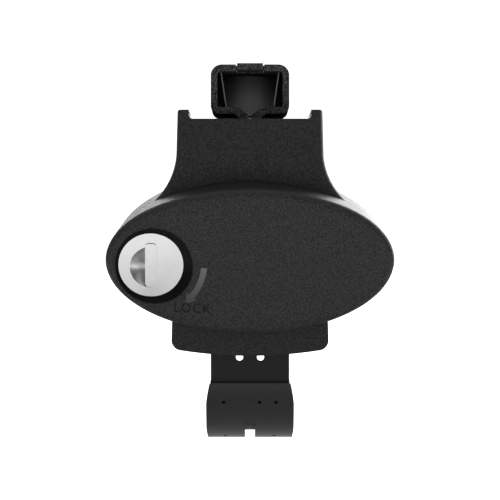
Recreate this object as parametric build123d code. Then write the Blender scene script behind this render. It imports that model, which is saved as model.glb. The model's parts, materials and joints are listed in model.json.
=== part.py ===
from build123d import *
import math
import os

# Roof bar foot, in millimetres. X runs along the roof rail, Y points away from the cover and Z up.
# The origin lies on the axis of the roof rail, midway along the foot.

# Roof rail and its pad
rail_radius = 16.0
rail_play = 0.05
pad_thickness = 3.0
pad_arc = 116.0
pad_seat_width = 18.0
pad_seat_rise = 0.95
pad_width = 49.0
pad_middle_width = 26.0
pad_end_height = 10.9

# Strap: steel band with a rubber sleeve moulded round it
band_width = 27.2
band_waist_width = 24.6
band_waist_top = -2.5
band_thickness = 1.5
rubber_inside = 1.6
rubber_outside = 2.6
fork_width = 13.0
front_fork_bottom = 38.0
rear_fork_bottom = 1.0
sight_hole_diameter = 2.5
sight_hole_spacing = 7.3
sight_hole_height = 7.2
sleeve_top = -1.7
sleeve_top_width = 28.0
sleeve_bulge_height = -9.0
sleeve_bulge_width = 30.5
sleeve_bottom_width = 28.4
groove_width = 3.45
groove_height = -15.9
dimple_diameter = 1.3
dimple_depth = 1.2
dimple_rows = {-8.4: (-9.1, 3.3, 9.0), -20.7: (-8.6, 8.3)}

# Pins of the strap
anchor_pin_diameter = 5.0
anchor_height = 14.0
running_gap = 0.08
tension_pin_diameter = 10.0
tension_height = 56.0
eye_gap = 0.35
journal_diameter = 8.0
slot_gap = 0.3
clip_thickness = 0.8
clip_rim = 2.0
clip_gap = 0.2

# Draw bolt and trunnion nut
bolt_diameter = 6.0
bolt_length = 40.0
bolt_head_diameter = 10.0
bolt_head_height = 6.0
hex_socket = 5.0
hex_depth = 3.0
thread_pitch = 1.0
bolt_turns = 8
bolt_chamfer = 0.8
bolt_gap = 0.1
thread_gap = 0.05
washer_diameter = 12.0
washer_thickness = 1.6
pin_flat_depth = 1.0
nut_diameter = 12.0
nut_distance = 22.8
nut_body_length = 24.0
nut_travel = 2.2
spring_wire = 1.0
spring_turns = 4.0
spring_gap = 0.4
spring_seat_gap = 0.05

# Folded steel chassis
chassis_thickness = 2.0
chassis_inner_width = 30.0
chassis_web_front = -12.0
chassis_web_back = 14.0
slot_margin = 3.5
lobe_radius = 5.0
flange_reach = 4.8
flange_low = 34.0
flange_high = 62.0
flange_root = 12.0

# Bar clamp: one folded sheet, its section like an omega with spread legs
clamp_width = 27.3
clamp_top = 108.8
clamp_underside = 91.7
clamp_sheet = 2.3
clamp_front = -16.0
clamp_back = 26.5
clamp_top_radius = 3.8
clamp_bottom_radius = 2.8
lip_bend = 1.4
throat_bend = 1.3
throat_width = 5.4
throat_top = 89.5
throat_bottom = 87.5
leg_inner_width = 14.0
leg_bottom = 61.0
leg_front = -4.0
leg_back = 16.0
leg_shoulder = 84.5
tongue_width = 9.0
tongue_length = 12.0
tongue_slit = 0.45
tongue_rise = 0.45

# Scooped plug inside the clamp
plug_top_width = 20.4
plug_bottom_width = 17.0
plug_front = -12.0
plug_back = 24.0
plug_wall = 0.7
plug_flange = 2.0
plug_gap = 0.2
scoop_radius = 14.0

# Moulded housing
saddle_height = 89.5
saddle_wall = 3.0
saddle_corner = 1.2
ear_height = 92.6
ear_inner_width = 42.2
ear_round = 0.9
neck_width = 49.9
skirt_width = 54.3
skirt_bottom = 7.8
skirt_side_bottom = 10.2
skirt_corner = 3.5
neck_front = -26.4
skirt_front = -24.5
housing_back = 31.0
back_bow = 2.2
housing_wall = 2.8
back_wall = 4.0
back_edge_radius = 3.0
neck_edge_radius = 2.5
flare_radius = 24.0
flare_bite = 0.4
tub_depth = 20.0
tub_wall = 2.5
tub_edge_radius = 6.0
arch_gap = 0.1
slot_clearance = 0.5

# Oval front cover, a tilted drum with a domed face whose ends taper towards the rear
cover_width = 100.2
cover_height = 50.8
cover_tilt = 14.5
drum_taper = 0.13
cover_wall = 2.5
cover_dome_radius = 390.0
cover_edge_radius = 2.0
cover_centre_height = 39.6
cover_foot_depth = 2.0
cover_joint_gap = 0.3
lip_thickness = 1.8
lip_length = 3.0
lip_gap = 0.3
lip_root = 3.0

# Turn lock in the cover
lock_inset = 16.2
lock_rise = -1.3
knob_diameter = 22.8
knob_depth = 3.3
knob_thickness = 3.9
knob_gap = 0.2
knob_seat_gap = 0.2
knob_edge = 0.3
recess_slope = 45.0
recess_floor = 3.4
finger_radius = 7.2
finger_drop = -0.75
finger_depth = 2.8
grip_width = 3.9
grip_height = 15.2
grip_rise = 0.6
boss_wall = 2.0
boss_floor = 2.0
sleeve_wall = 2.0
sleeve_length = 9.0
lock_shaft_diameter = 12.0
cam_thickness = 2.5
cam_square = 8.0
cam_length = 11.5
cam_width = 10.0
cam_hub_diameter = 16.0
cam_gap = 0.1
cam_screw_diameter = 4.0
cam_screw_head = 7.0
cam_screw_head_height = 2.4
cam_screw_length = 9.0

# Screws between housing and chassis
screw_diameter = 4.0
screw_head_diameter = 7.4
screw_head_height = 2.0
screw_length = 10.0
screw_spacing_x = 38.8
screw_low = 40.0
screw_high = 56.0
screw_gap = 0.2
cross_length = 4.0
cross_width = 1.0
cross_depth = 1.0

# Places that follow from the sizes above
pad_bore = rail_radius + rail_play
pad_radius = pad_bore + pad_thickness
pad_top = pad_radius + pad_seat_rise
band_radius = rail_radius + rubber_inside + band_thickness / 2
band_inner = band_radius - band_thickness / 2
band_outer = band_radius + band_thickness / 2
sleeve_outer = band_outer + rubber_outside
knuckle_bore = anchor_pin_diameter / 2 + running_gap
eye_bore = tension_pin_diameter / 2 + eye_gap
anchor_y = band_inner + band_thickness + knuckle_bore
tension_y = -(band_outer - band_thickness - eye_bore)
chassis_outer_width = chassis_inner_width + 2 * chassis_thickness
strap_arm = math.hypot(tension_y - anchor_y, tension_height - anchor_height)
bolt_travel = thread_pitch * bolt_turns
strap_swing = 2 * math.asin(bolt_travel / 2 / strap_arm)
arm_angle = math.atan2(tension_height - anchor_height, tension_y - anchor_y)
bolt_angle = arm_angle + strap_swing / 2 - math.pi / 2
bolt_y = math.cos(bolt_angle)
bolt_z = math.sin(bolt_angle)
pin_flat = tension_pin_diameter / 2 - pin_flat_depth
nut_y = tension_y + nut_distance * bolt_y
nut_z = tension_height + nut_distance * bolt_z
cover_joint = neck_front - cover_joint_gap
cover_a = cover_width / 2
cover_b = cover_height / 2
tilt = math.radians(cover_tilt)
foot_drop = cover_dome_radius - math.sqrt(cover_dome_radius**2 - cover_b**2)
cover_y = cover_joint - cover_foot_depth - cover_b * math.sin(tilt) - foot_drop * math.cos(tilt)
tub_b = cover_b / math.cos(tilt)
tub_z = cover_centre_height - (cover_y - neck_front) * math.tan(tilt)
tub_top = tub_z + tub_b
joint_depth = (neck_front - cover_y) * math.cos(tilt) + (tub_top - cover_centre_height) * math.sin(tilt)
tub_a = cover_a - drum_taper * joint_depth
tub_back = neck_front + tub_depth
lock_axis_radius = lock_shaft_diameter / 2
lock_place = lock_inset - cover_a
cover_plane = Plane(
    origin=(0, cover_y, cover_centre_height),
    x_dir=(1, 0, 0),
    z_dir=(0, -math.cos(tilt), -math.sin(tilt)),
)


def along_x(face, start, end):
    """Extrude a face drawn in Y and Z from one X to another."""
    return Pos(start, 0, 0) * extrude(Plane.YZ * face, amount=end - start)


def across(face, width):
    """Extrude a face drawn in Y and Z to a width centred on X = 0."""
    return along_x(face, -width / 2, width / 2)


def along_y(face, front, back):
    """Extrude a face drawn in X and Z from its front to its back."""
    return Pos(0, back, 0) * extrude(Plane.XZ * face, amount=back - front)


def block(x_range, y_range, z_range):
    """Make a box from its limits on X, Y and Z."""
    sizes = [high - low for low, high in (x_range, y_range, z_range)]
    middle = [(high + low) / 2 for low, high in (x_range, y_range, z_range)]
    return Pos(*middle) * Box(*sizes)


def slab(front, back):
    """Make a wide plate between two values of Y."""
    room = 4 * cover_width
    return block((-room, room), (front, back), (-room, room))


def bar_x(radius, start, end, y=0.0, z=0.0):
    """Make a round bar along X."""
    return along_x(Pos(y, z) * Circle(radius), start, end)


def on_bolt(distance):
    """Give the plane square to the bolt at a distance behind the tension pin's axis."""
    origin = (0, tension_y + distance * bolt_y, tension_height + distance * bolt_z)
    return Plane(origin=origin, x_dir=(1, 0, 0), z_dir=(0, bolt_y, bolt_z))


def both_sides(solid):
    """Give a solid and its mirror image across the plane X = 0."""
    return [solid, mirror(solid, about=Plane.YZ)]


def whole(half):
    """Join a right half to its mirror image."""
    return half + mirror(half, about=Plane.YZ)


def slot_along_bolt(y, z, travel, radius):
    """Draw, in Y and Z, the slot that a round pin sweeps as it moves down the bolt's direction."""
    start = Vector(y, z)
    end = Vector(y - travel * bolt_y, z - travel * bolt_z)
    spine = end - start
    side = Vector(-spine.Y, spine.X).normalized() * radius
    body = make_face(Polyline(start + side, end + side, end - side, start - side, close=True))
    return body + Pos(start.X, start.Y) * Circle(radius) + Pos(end.X, end.Y) * Circle(radius)


def flank_x(z):
    """Give the half width of the tower's tapered flank at a height."""
    share = (ear_height - z) / (ear_height - skirt_side_bottom)
    return (neck_width + share * (skirt_width - neck_width)) / 2


def flare_arc():
    """Find the arc that blends the flank into the oval: its two ends and its middle, in X and Z."""
    slope = math.atan2(flank_x(skirt_side_bottom) - flank_x(ear_height), ear_height - skirt_side_bottom)
    flank_normal = Vector(math.cos(slope), math.sin(slope))
    flank_top = Vector(flank_x(ear_height), ear_height)
    a = tub_a - flare_bite
    b = tub_b - flare_bite
    low, high = 0.0, math.pi / 2
    for _ in range(60):
        turn = (low + high) / 2
        point = Vector(a * math.cos(turn), tub_z + b * math.sin(turn))
        normal = Vector(b * math.cos(turn), a * math.sin(turn)).normalized()
        centre = point + normal * flare_radius
        if (centre - flank_top).dot(flank_normal) > flare_radius:
            low = turn
        else:
            high = turn
    start = centre - flank_normal * flare_radius
    middle = centre - (flank_normal + normal).normalized() * flare_radius
    return start, middle, point


def oval(inset=0.0):
    """Draw the oval of the tub's mouth in X and Z, smaller by an inset all round."""
    return Pos(0, tub_z) * Ellipse(tub_a - inset, tub_b - inset)


def rail_pad():
    """Saddle pad that lies on the rail, flat on top where the chassis rests on it."""
    half_arc = math.radians(pad_arc / 2)
    reach = 2 * pad_radius
    sector = make_face(
        Polyline(
            (0, 0),
            (-reach * math.sin(half_arc), reach * math.cos(half_arc)),
            (0, 2 * reach),
            (reach * math.sin(half_arc), reach * math.cos(half_arc)),
            close=True,
        )
    )
    seat = Pos(0, pad_top / 2) * Rectangle(pad_seat_width, pad_top)
    section = (Circle(pad_radius) & sector) + seat - Circle(pad_bore)
    high = section & Pos(0, pad_end_height + pad_top) * Rectangle(2 * reach, 2 * pad_top)
    return across(section, pad_middle_width) + across(high, pad_width)


def chassis_profile():
    """Side outline of a chassis plate in Y and Z, arched over the rail and its pad."""
    reach = journal_diameter / 2 + slot_gap + slot_margin
    tension = slot_along_bolt(tension_y, tension_height, bolt_travel, reach)
    nut = slot_along_bolt(nut_y, nut_z, nut_travel, reach)
    lobe = Pos(anchor_y, anchor_height) * Circle(lobe_radius)
    base = Pos((chassis_web_front + chassis_web_back) / 2, pad_top + chassis_thickness / 2) * Rectangle(
        chassis_web_back - chassis_web_front, chassis_thickness
    )
    outline = make_hull((tension + nut + lobe + base).edges())
    flange_back = housing_back - back_wall
    flange = Pos((flange_root + flange_back) / 2, (flange_low + flange_high) / 2) * Rectangle(
        flange_back - flange_root, flange_high - flange_low
    )
    arch = Circle(pad_radius + slot_gap)
    seat = Pos(0, pad_top / 2) * Rectangle(pad_seat_width + 2 * slot_gap, pad_top)
    return outline + flange - arch - seat


def chassis():
    """Folded steel U: two side plates on a web, with flanges turned out at the rear."""
    plates = across(chassis_profile(), chassis_outer_width)
    gap = chassis_inner_width / 2
    web_top = pad_top + chassis_thickness
    room = 2 * clamp_top
    plates -= block((-gap, gap), (-room, room), (web_top, room))
    plates -= block((-gap, gap), (-room, chassis_web_front), (-room, room))
    plates -= block((-gap, gap), (chassis_web_back, room), (-room, room))
    radius = journal_diameter / 2 + slot_gap
    plates -= across(slot_along_bolt(tension_y, tension_height, bolt_travel, radius), 2 * room)
    plates -= across(slot_along_bolt(nut_y, nut_z, nut_travel, radius), 2 * room)
    plates -= bar_x(anchor_pin_diameter / 2, -room, room, anchor_y, anchor_height)
    flange_back = housing_back - back_wall
    outer = chassis_outer_width / 2
    flange = block(
        (outer, outer + flange_reach),
        (flange_back - chassis_thickness, flange_back),
        (flange_low, flange_high),
    )
    frame = plates + both_sides(flange)
    for x, z in screw_places():
        hole = along_y(Pos(x, z) * Circle(screw_diameter / 2 + thread_gap), 0, housing_back)
        frame -= hole
    return frame


def screw_places():
    """Places of the four chassis screws in X and Z."""
    return [(side * screw_spacing_x / 2, z) for side in (-1, 1) for z in (screw_low, screw_high)]


def chassis_screws():
    """Four pan head screws put in from the rear."""
    seat = housing_back - screw_head_height
    screws = []
    for x, z in screw_places():
        head = along_y(Pos(x, z) * Circle(screw_head_diameter / 2), seat, housing_back)
        shank = along_y(Pos(x, z) * Circle(screw_diameter / 2), seat - screw_length, seat)
        cross = Rectangle(cross_length, cross_width) + Rectangle(cross_width, cross_length)
        cut = along_y(Pos(x, z) * cross, housing_back - cross_depth, housing_back)
        screws.append(head + shank - cut)
    return screws


def strap_section():
    """Band outline in Y and Z: front run with a rolled eye, half turn under the rail, rear knuckle."""
    half_turn = Circle(band_outer) - Circle(band_inner)
    half_turn -= Pos(0, band_outer) * Rectangle(4 * band_outer, 2 * band_outer)
    front = Pos(-band_radius, tension_height / 2) * Rectangle(band_thickness, tension_height)
    rear = Pos(band_radius, anchor_height / 2) * Rectangle(band_thickness, anchor_height)
    eye = Circle(eye_bore + band_thickness) - Circle(eye_bore)
    knuckle = Circle(knuckle_bore + band_thickness) - Circle(knuckle_bore)
    eye = Pos(tension_y, tension_height) * eye
    knuckle = Pos(anchor_y, anchor_height) * knuckle
    return half_turn + front + rear + eye + knuckle


def strap_band():
    """Steel band that wraps the rail, forked at both ends round the bolt and the sight line."""
    band = across(strap_section(), band_width) - waist_cuts(band_width)
    gap = fork_width / 2
    room = 2 * clamp_top
    band -= block((-gap, gap), (-room, 0), (front_fork_bottom, room))
    band -= block((-gap, gap), (0, room), (rear_fork_bottom, room))
    for side in (-1, 1):
        place = Pos(side * sight_hole_spacing / 2, sight_hole_height)
        band -= along_y(place * Circle(sight_hole_diameter / 2), -2 * band_outer, 0)
    return band


def waist_cuts(width):
    """Blocks that narrow a band of a given width to the waist inside the sleeve."""
    edge = block(
        (band_waist_width / 2, width),
        (-2 * band_outer, 2 * band_outer),
        (-2 * band_outer, band_waist_top),
    )
    return both_sides(edge)


def strap_sleeve():
    """Rubber moulded round the band under the rail, bulged near its ends and waisted below."""
    ring = Circle(sleeve_outer) - Circle(rail_radius)
    ring -= Pos(0, sleeve_top + sleeve_outer) * Rectangle(4 * sleeve_outer, 2 * sleeve_outer)
    body = across(ring, sleeve_bulge_width)
    half = [sleeve_top_width / 2, sleeve_bulge_width / 2, sleeve_bottom_width / 2]
    bottom = -sleeve_outer - rubber_outside
    right = Spline((half[0], sleeve_top), (half[1], sleeve_bulge_height), (half[2], bottom))
    left = mirror(right, about=Plane.YZ)
    outline = make_face(
        [right, left, Line(right @ 0, left @ 0), Line(right @ 1, left @ 1)]
    )
    body &= along_y(outline, -2 * sleeve_outer, 2 * sleeve_outer)
    body -= across(Circle(band_outer) - Circle(band_inner), band_width) - waist_cuts(band_width)
    groove = Circle(2 * sleeve_outer) - Circle(band_outer)
    groove -= Pos(0, groove_height + 2 * sleeve_outer) * Rectangle(8 * sleeve_outer, 4 * sleeve_outer)
    body -= across(groove, groove_width)
    for height, places in dimple_rows.items():
        for x in places:
            body -= dimple(x, height)
    return body


def dimple(x, height):
    """Round pin mark, square to the sleeve's outside at a place along X and a height."""
    angle = math.asin(height / sleeve_outer)
    inward = Vector(0, math.cos(angle), -math.sin(angle))
    mouth = Vector(x, 0, 0) - inward * sleeve_outer
    return extrude(Plane(mouth, z_dir=inward) * Circle(dimple_diameter / 2), amount=dimple_depth, both=True)


def anchor_pin():
    """Pin through the chassis that the strap's rear knuckles turn on."""
    half = chassis_outer_width / 2 + clip_gap + clip_thickness + clip_rim / 2
    return bar_x(anchor_pin_diameter / 2, -half, half, anchor_y, anchor_height)


def retaining_clips(pin_radius, y, z):
    """Pair of round retaining clips outside the chassis plates."""
    start = chassis_outer_width / 2 + clip_gap
    ring = Circle(pin_radius + clip_rim) - Circle(pin_radius)
    ring -= Pos(0, -pin_radius - clip_rim) * Rectangle(pin_radius, 2 * pin_radius + 2 * clip_rim)
    clip = along_x(Pos(y, z) * ring, start, start + clip_thickness)
    return both_sides(clip)


def anchor_pin_clips():
    """Clips on the ends of the anchor pin."""
    return retaining_clips(anchor_pin_diameter / 2, anchor_y, anchor_height)


def tension_pin_clips():
    """Clips on the slim ends of the tension pin."""
    return retaining_clips(journal_diameter / 2, tension_y, tension_height)


def tension_pin():
    """Cross pin in the strap's eyes, flattened and drilled for the bolt, with slimmer ends."""
    body_half = chassis_inner_width / 2 - clip_gap
    end_half = chassis_outer_width / 2 + clip_gap + clip_thickness + clip_rim / 2
    pin = bar_x(tension_pin_diameter / 2, -body_half, body_half, tension_y, tension_height)
    pin += bar_x(journal_diameter / 2, -end_half, end_half, tension_y, tension_height)
    washer_room = washer_diameter / 2 + bolt_gap
    for direction in (-1, 1):
        flat = on_bolt(direction * pin_flat)
        pin -= extrude(flat * Rectangle(2 * washer_room, tension_pin_diameter), amount=direction * pin_flat)
    hole = on_bolt(-tension_pin_diameter) * Circle(bolt_diameter / 2 + bolt_gap)
    return pin - extrude(hole, amount=2 * tension_pin_diameter)


def tension_bolt():
    """Socket head bolt that draws the strap's pin towards the trunnion nut."""
    seat = -pin_flat - washer_thickness
    head = extrude(on_bolt(seat) * Circle(bolt_head_diameter / 2), amount=-bolt_head_height)
    shank = extrude(on_bolt(seat) * Circle(bolt_diameter / 2), amount=bolt_length)
    tip = shank.edges().filter_by(GeomType.CIRCLE).sort_by(Axis((0, 0, 0), (0, bolt_y, bolt_z)))[-1]
    shank = chamfer(tip, bolt_chamfer)
    hexagon = RegularPolygon(hex_socket / 2, 6, major_radius=False)
    socket = extrude(on_bolt(seat - bolt_head_height) * hexagon, amount=hex_depth)
    return head + shank - socket


def thrust_washer():
    """Washer between the bolt's head and the flat of the tension pin."""
    ring = Circle(washer_diameter / 2) - Circle(bolt_diameter / 2 + bolt_gap)
    return extrude(on_bolt(-pin_flat) * ring, amount=-washer_thickness)


def trunnion_nut():
    """Cross nut: its middle runs in the clamp's legs and its ends in the chassis slots."""
    nut = bar_x(nut_diameter / 2, -nut_body_length / 2, nut_body_length / 2, nut_y, nut_z)
    end_half = chassis_outer_width / 2 + clip_thickness
    nut += bar_x(journal_diameter / 2, -end_half, end_half, nut_y, nut_z)
    hole = on_bolt(nut_distance - nut_diameter) * Circle(bolt_diameter / 2 + thread_gap)
    return nut - extrude(hole, amount=2 * nut_diameter)


def draw_spring():
    """Coil spring on the bolt between the tension pin and the trunnion nut."""
    start = pin_flat + spring_wire / 2 + spring_seat_gap
    end = nut_distance - nut_diameter / 2 - spring_wire / 2 - spring_seat_gap
    radius = bolt_diameter / 2 + spring_gap + spring_wire / 2
    pitch = (end - start) / spring_turns
    coil = Helix(pitch=pitch, height=end - start, radius=radius)
    wire = sweep(Plane(coil @ 0, z_dir=coil % 0) * Circle(spring_wire / 2), path=coil)
    return on_bolt(start).location * wire


def clamp_section():
    """Section of the folded clamp sheet in X and Z: C, throat and spread legs."""
    middle = clamp_sheet / 2
    wall = clamp_width / 2 - middle
    roof = clamp_top - middle
    floor = clamp_underside + middle
    throat = throat_width / 2 - middle
    leg = leg_inner_width / 2 + middle
    lip_run = floor - throat_top
    spread = leg - throat
    right = [
        (wall, roof),
        (wall, floor),
        (throat + lip_run, floor),
        (throat, throat_top),
        (throat, throat_bottom),
        (leg, throat_bottom - spread),
        (leg, leg_bottom),
    ]
    left = [(-x, z) for x, z in reversed(right)]
    top_bend = clamp_top_radius - middle
    bottom_bend = clamp_bottom_radius - middle
    bends = [top_bend, bottom_bend, lip_bend, throat_bend, throat_bend, lip_bend]
    path = FilletPolyline(*left, *right, radius=bends[::-1] + bends)
    return trace(path, line_width=clamp_sheet)


def bar_clamp():
    """Folded C that holds the roof bar, with a lanced tongue and two slotted legs."""
    clamp = along_y(clamp_section(), clamp_front, clamp_back)
    room = 2 * clamp_top
    clamp -= block((-room, room), (-room, leg_front), (-room, leg_shoulder))
    clamp -= block((-room, room), (leg_back, room), (-room, leg_shoulder))
    run = nut_travel * bolt_y
    slot_height = nut_diameter + 2 * slot_gap
    slot = Pos(nut_y - run / 2, nut_z) * SlotOverall(slot_height + run, slot_height)
    clamp -= across(slot, 2 * room)
    half = tongue_width / 2
    tongue_end = clamp_front + tongue_length
    roof = clamp_top - clamp_sheet
    clamp -= block((-half - tongue_slit, half + tongue_slit), (clamp_front, tongue_end), (roof, room))
    tongue = block(
        (-half, half),
        (clamp_front, tongue_end + clamp_sheet),
        (roof + tongue_rise, clamp_top + tongue_rise),
    )
    return clamp + tongue


def clamp_plug():
    """Moulded plug in the clamp's channel, scooped out towards the front."""
    bottom = clamp_underside + clamp_sheet
    top = clamp_top - clamp_sheet - plug_gap
    outer = trapezoid(plug_bottom_width, plug_top_width, bottom, top)
    inner = trapezoid(plug_bottom_width - 2 * plug_wall, plug_top_width - 2 * plug_wall, bottom, top)
    plug = along_y(outer, plug_front, plug_back)
    plug += along_y(lip_keel(bottom), plug_front, plug_back)
    plug += along_y(channel_fill(bottom, top), plug_back - plug_flange, plug_back)
    scoop = Pos(plug_front, bottom + plug_wall + scoop_radius) * Circle(scoop_radius)
    return plug - (across(scoop, 2 * clamp_width) & along_y(inner, plug_front, plug_back))


def lip_keel(top):
    """Draw the plug's keel in X and Z: it fills the funnel between the clamp's two lips."""
    corner = (math.sqrt(2) - 1) * clamp_sheet / 2
    point = throat_top + throat_bend
    half = top - throat_top + throat_width / 2 - clamp_sheet - corner - plug_gap
    return make_face(Polyline((-half, top), (half, top), (0, max(point, top - half)), close=True))


def channel_fill(bottom, top):
    """Draw the plug's rear flange in X and Z: it closes the clamp's channel."""
    width = clamp_width - 2 * (clamp_sheet + plug_gap)
    face = Pos(0, (bottom + top) / 2) * Rectangle(width, top - bottom)
    return fillet(face.vertices(), clamp_top_radius - clamp_sheet)


def trapezoid(bottom_width, top_width, bottom, top):
    """Draw an upright trapezoid in X and Z."""
    return make_face(
        Polyline(
            (-bottom_width / 2, bottom),
            (bottom_width / 2, bottom),
            (top_width / 2, top),
            (-top_width / 2, top),
            close=True,
        )
    )


def skirt_outline():
    """Tower in X and Z down to the skirt's curved bottom edge with its rounded corners."""
    low = flank_x(skirt_side_bottom)
    high = flank_x(ear_height)
    left = Line((-low, skirt_side_bottom), (-high, ear_height))
    right = Line((high, ear_height), (low, skirt_side_bottom))
    roof = Line((-high, ear_height), (high, ear_height))
    hem = ThreePointArc((low, skirt_side_bottom), (0, skirt_bottom), (-low, skirt_side_bottom))
    tower = make_face([left, right, roof, hem])
    return fillet(tower.vertices().group_by(Axis.Y)[0], skirt_corner)


def saddle_cut():
    """Draw the hollow between the ears in X and Z."""
    rise = ear_height - saddle_height
    hollow = Pos(0, saddle_height + rise) * Rectangle(ear_inner_width, 2 * rise)
    return fillet(hollow.vertices().group_by(Axis.Y)[0], saddle_corner)


def ear_rounding():
    """Draw what is cut off the ears' outer corners in X and Z to round them."""
    base = ear_height - ear_round
    inset = flank_x(base) - ear_round
    size = 4 * ear_round
    waste = Rectangle(2 * inset + size, size) - Rectangle(2 * inset, size)
    waste -= Pos(inset, 0) * Circle(ear_round) + Pos(-inset, 0) * Circle(ear_round)
    upper = Pos(0, size / 2) * Rectangle(2 * inset + size, size)
    return Pos(0, base) * (waste & upper)


def neck_block():
    """Front part of the tower, flared into the oval and rounded along its flanks."""
    start, middle, end = flare_arc()
    top = Vector(flank_x(ear_height), ear_height)
    right = [Line(top, start), ThreePointArc(start, middle, end)]
    left = [mirror(edge, about=Plane.YZ) for edge in right]
    closing = [Line((-top.X, top.Y), top), Line((-end.X, end.Y), end)]
    face = make_face(right + left + closing)
    neck = along_y(face, neck_front, tub_back)
    sides = neck.edges().filter_by(lambda edge: is_flank_edge(edge, neck_front))
    neck = fillet(sides, neck_edge_radius)
    rear = neck.edges().filter_by(lambda edge: is_flank_edge(edge, tub_back))
    return fillet(rear, neck_edge_radius)


def is_flank_edge(edge, y):
    """Tell whether an edge is a flank or a flare of the neck on the plane at Y."""
    centre = edge.center()
    return abs(centre.Y - y) < 0.01 and abs(centre.X) > neck_width / 4 and edge.bounding_box().size.Z > 1


def housing():
    """Moulded tower: saddle with ears, flared neck, oval tub at the front and skirt over the rail."""
    tower = along_y(skirt_outline(), skirt_front, 2 * housing_back) & across(side_outline(), 2 * skirt_width)
    upright = tower.edges().filter_by(lambda edge: edge.bounding_box().size.Z > ear_height / 2)
    tower = fillet(upright.group_by(Axis.Y)[-1], back_edge_radius)
    body = tower + neck_block() + tub_form(0, tub_back, tub_edge_radius)
    body -= along_y(saddle_cut(), 2 * neck_front, 2 * housing_back)
    body -= along_y(ear_rounding(), 2 * neck_front, 2 * housing_back)
    for cavity in housing_cavities():
        body -= cavity
    return body - housing_openings()


def side_outline():
    """Draw the tower's side view in Y and Z, with its back bowed outwards."""
    front = 2 * neck_front
    top = (housing_back - back_bow, ear_height)
    bottom = (housing_back - back_bow, 0)
    back = ThreePointArc(top, (housing_back, ear_height / 2), bottom)
    return make_face([back, Polyline(bottom, (front, 0), (front, ear_height), top)])


def housing_cavities():
    """Hollows of the housing: tower, neck and tub."""
    top = saddle_height - saddle_wall
    bottom = skirt_bottom - skirt_corner
    low = tub_z
    inside = trapezoid(2 * (flank_x(bottom) - housing_wall), 2 * (flank_x(top) - housing_wall), bottom, top)
    upper = trapezoid(2 * (flank_x(low) - housing_wall), 2 * (flank_x(top) - housing_wall), low, top)
    tower = along_y(inside, skirt_front + housing_wall, housing_back - back_wall)
    neck = along_y(upper, neck_front + housing_wall, tub_back)
    tub = tub_form(tub_wall, tub_back - tub_wall, tub_edge_radius - tub_wall)
    return [tower, neck, tub]


def tub_form(inset, back, radius):
    """Drum behind the cover down to its rounded rear, smaller by an inset all round."""
    half = half_drum(inset) & slab(neck_front, back)
    rim = half.edges().group_by(Axis.Y)[-1].sort_by(SortBy.LENGTH)[-1]
    return whole(fillet(rim, radius))


def housing_openings():
    """Arch for the rail, slot for the clamp's legs and holes for the screws."""
    seat = Pos(0, pad_top / 2) * Rectangle(pad_seat_width + 2 * arch_gap, pad_top + 2 * arch_gap)
    arch = across(Circle(pad_radius + arch_gap) + seat, 2 * skirt_width)
    leg_half = leg_inner_width / 2 + clamp_sheet + slot_clearance
    slot = block(
        (-leg_half, leg_half),
        (clamp_front - slot_clearance, clamp_back + slot_clearance),
        (saddle_height - 2 * saddle_wall, 2 * clamp_top),
    )
    cuts = arch + slot
    for x, z in screw_places():
        cuts += along_y(Pos(x, z) * Circle(screw_diameter / 2 + screw_gap), 0, 2 * housing_back)
        seat = Pos(x, z) * Circle(screw_head_diameter / 2 + screw_gap)
        cuts += along_y(seat, housing_back - screw_head_height, 2 * housing_back)
    return cuts


def half_drum(inset):
    """Right half of the oval drum, leaning inwards to the rear, smaller by an inset all round."""
    ellipse = Ellipse(cover_a - inset, cover_b - inset)
    front = cover_plane * Pos(drum_taper * cover_b, 0, cover_b) * ellipse
    lean = Vector(-drum_taper, math.cos(tilt), math.sin(tilt))
    room = 4 * cover_width
    return extrude(front, amount=2 * cover_height, dir=lean) & block((0, room), (-room, room), (-room, room))


def half_domed(inset):
    """Right half of the drum under the cover's domed face, smaller by an inset all round."""
    dome = cover_plane * Pos(0, 0, -cover_dome_radius) * Rot(0, 90, 0) * Sphere(cover_dome_radius - inset)
    return half_drum(inset) & dome


def lock_plane(depth):
    """Plane square to the lock's axis, at a depth behind the top of the cover's dome."""
    return cover_plane * Pos(lock_place, lock_rise, -depth)


def front_cover():
    """Oval cover: domed drum shell with a locating lip, a lock recess and a lock boss."""
    half = half_domed(0)
    half = fillet(half.edges().sort_by(SortBy.LENGTH)[-1], cover_edge_radius)
    outer = whole(half & slab(4 * cover_joint, cover_joint))
    seat = knob_depth + knob_thickness + knob_seat_gap
    cup_radius = knob_diameter / 2 + knob_gap + boss_wall
    boss_radius = lock_axis_radius + sleeve_wall + boss_wall
    cup = extrude(lock_plane(seat + boss_floor) * Circle(cup_radius), amount=seat + boss_floor)
    boss = extrude(lock_plane(seat + sleeve_length) * Circle(boss_radius), amount=seat + sleeve_length)
    cover = outer - whole(half_domed(cover_wall))
    cover += cup & outer
    cover += boss & whole(half)
    return cover + locating_lip() - lock_room()


def locating_lip():
    """Ring behind the cover's edge that enters the tub and can be drawn straight out of it."""
    outside = tub_wall + lip_gap
    inner = along_y(oval(outside + lip_thickness), 2 * cover_joint, 0)
    root = whole(half_drum(cover_wall / 2) & slab(cover_joint - lip_root, cover_joint))
    lip = along_y(oval(outside), cover_joint - lip_root, cover_joint + lip_length) & whole(half_drum(outside))
    return root + lip - inner


def lock_room():
    """Recess, counterbore and bore for the lock in the cover."""
    mouth = knob_diameter / 2 + knob_gap
    spread = recess_floor * math.tan(math.radians(recess_slope))
    cone = Cone(mouth, mouth + spread, recess_floor, align=(Align.CENTER, Align.CENTER, Align.MIN))
    recess = lock_plane(recess_floor) * cone
    seat = knob_depth + knob_thickness + knob_seat_gap
    counterbore = extrude(lock_plane(seat) * Circle(mouth), amount=seat)
    bore = Circle(lock_axis_radius + sleeve_wall)
    return recess + counterbore + extrude(lock_plane(2 * cover_height) * bore, amount=2 * cover_height)


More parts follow.
